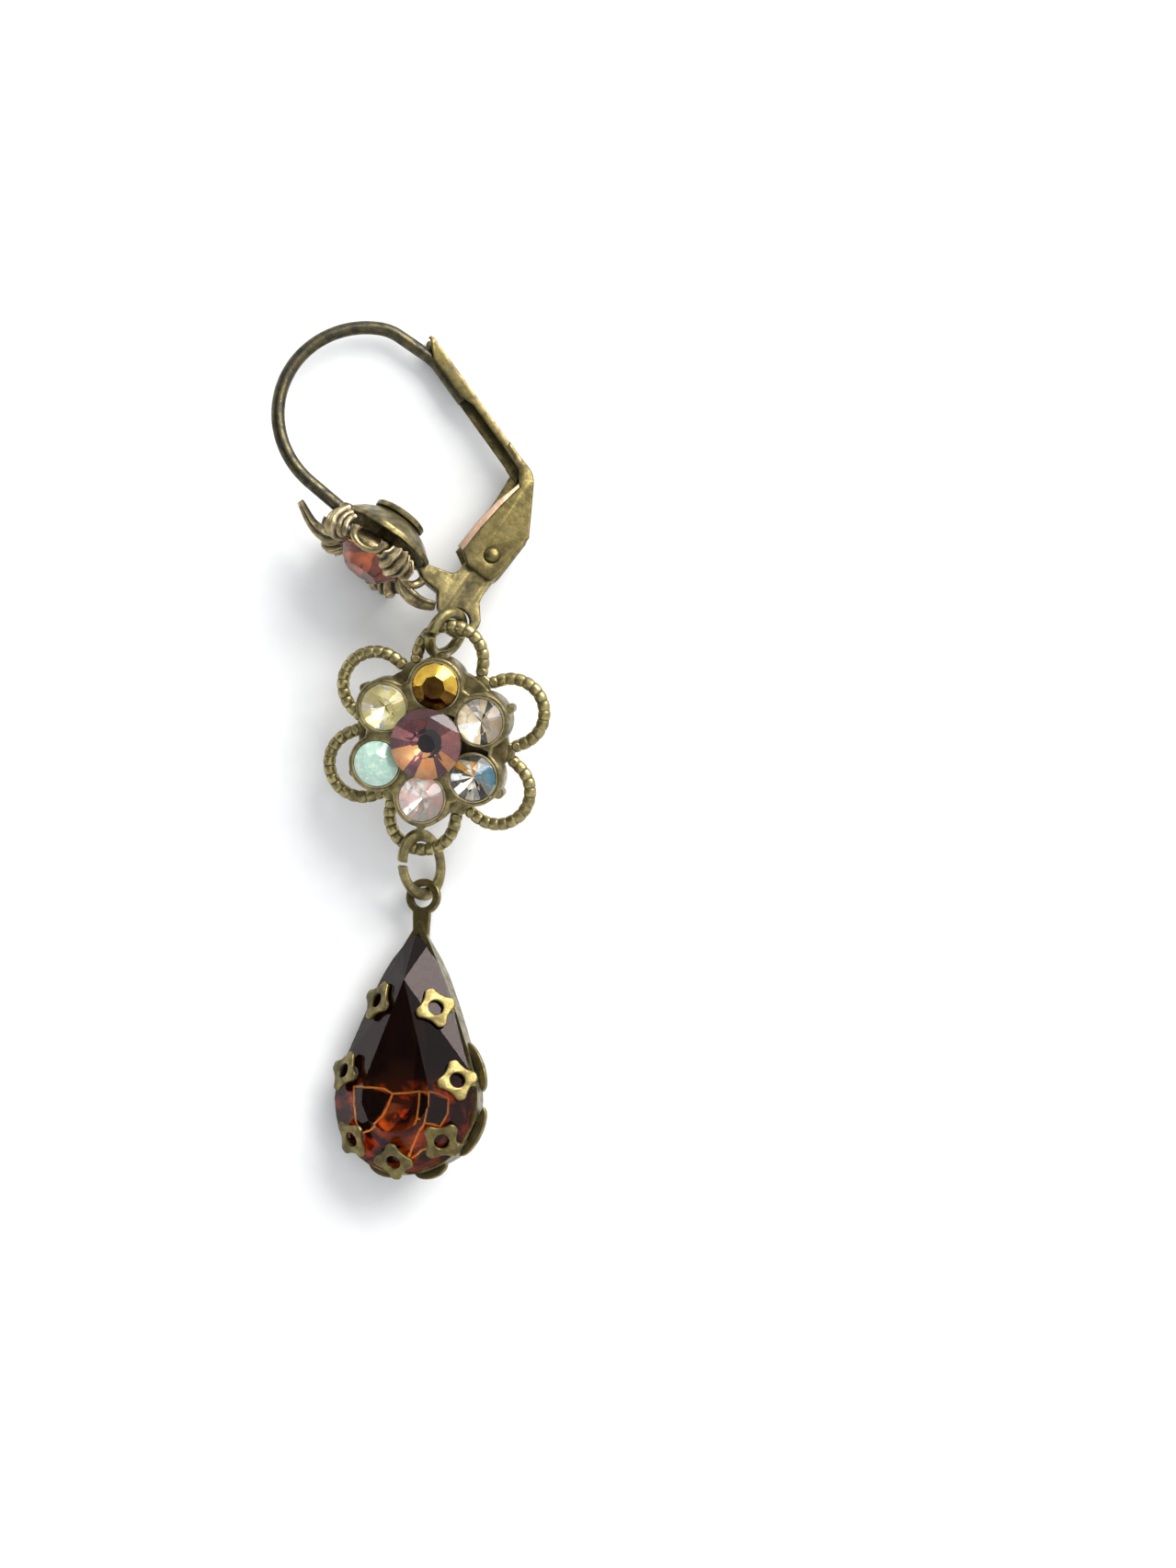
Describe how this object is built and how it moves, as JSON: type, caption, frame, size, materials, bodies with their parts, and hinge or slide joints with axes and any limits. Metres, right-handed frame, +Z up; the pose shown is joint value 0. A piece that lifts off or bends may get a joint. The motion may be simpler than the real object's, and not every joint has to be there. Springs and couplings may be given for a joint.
{
  "type": "drop earring",
  "caption": "Leverback drop earring: ear wire with a cast flower, a pierced petal link with a cluster of round stones, and a pear-shaped stone in a claw setting.",
  "frame": {"origin": "under the middle of the bounding box, on the surface that the earring lies on", "axes": "+Y runs from the pear drop to the top of the ear wire, +Z is up out of the surface, +X is to the right"},
  "size_m": [0.0149, 0.0458, 0.0072],
  "materials": {
    "old_brass": "antiqued satin",
    "worn_brass": "antiqued satin, worn on its edges",
    "pale_brass": "antiqued satin",
    "amber_glass": "polished, foiled behind",
    "topaz_glass": "polished, foiled behind",
    "clear_glass": "polished, foiled behind",
    "opal_glass": "polished, milky",
    "rose_glass": "polished, foiled behind",
    "plum_glass": "polished, foiled behind"
  },
  "bodies": {
    "earring": {"ear_hook": "old_brass", "pivot_rivet": "worn_brass", "cup_rivet": "old_brass", "front_flower": "pale_brass", "front_stone": "amber_glass", "upper_jump_ring": "old_brass", "filigree_link": "old_brass", "cluster_cup": "old_brass", "stone_top": "topaz_glass", "stone_upper_left": "clear_glass", "stone_lower_left": "opal_glass", "stone_bottom": "rose_glass", "stone_lower_right": "clear_glass", "stone_upper_right": "clear_glass", "stone_centre": "plum_glass", "lower_jump_ring": "old_brass", "pear_setting": "worn_brass", "pear_stone": "amber_glass"},
    "lever": {"lever": "worn_brass"}
  },
  "joints": [
    {"name": "lever_hinge", "type": "hinge", "parent": "earring", "child": "lever", "pos_m": [0.00417, 0.01004, 0.00243], "axis": [-0.1229, -0.1782, -0.9763], "range_deg": [0, 60]}
  ]
}
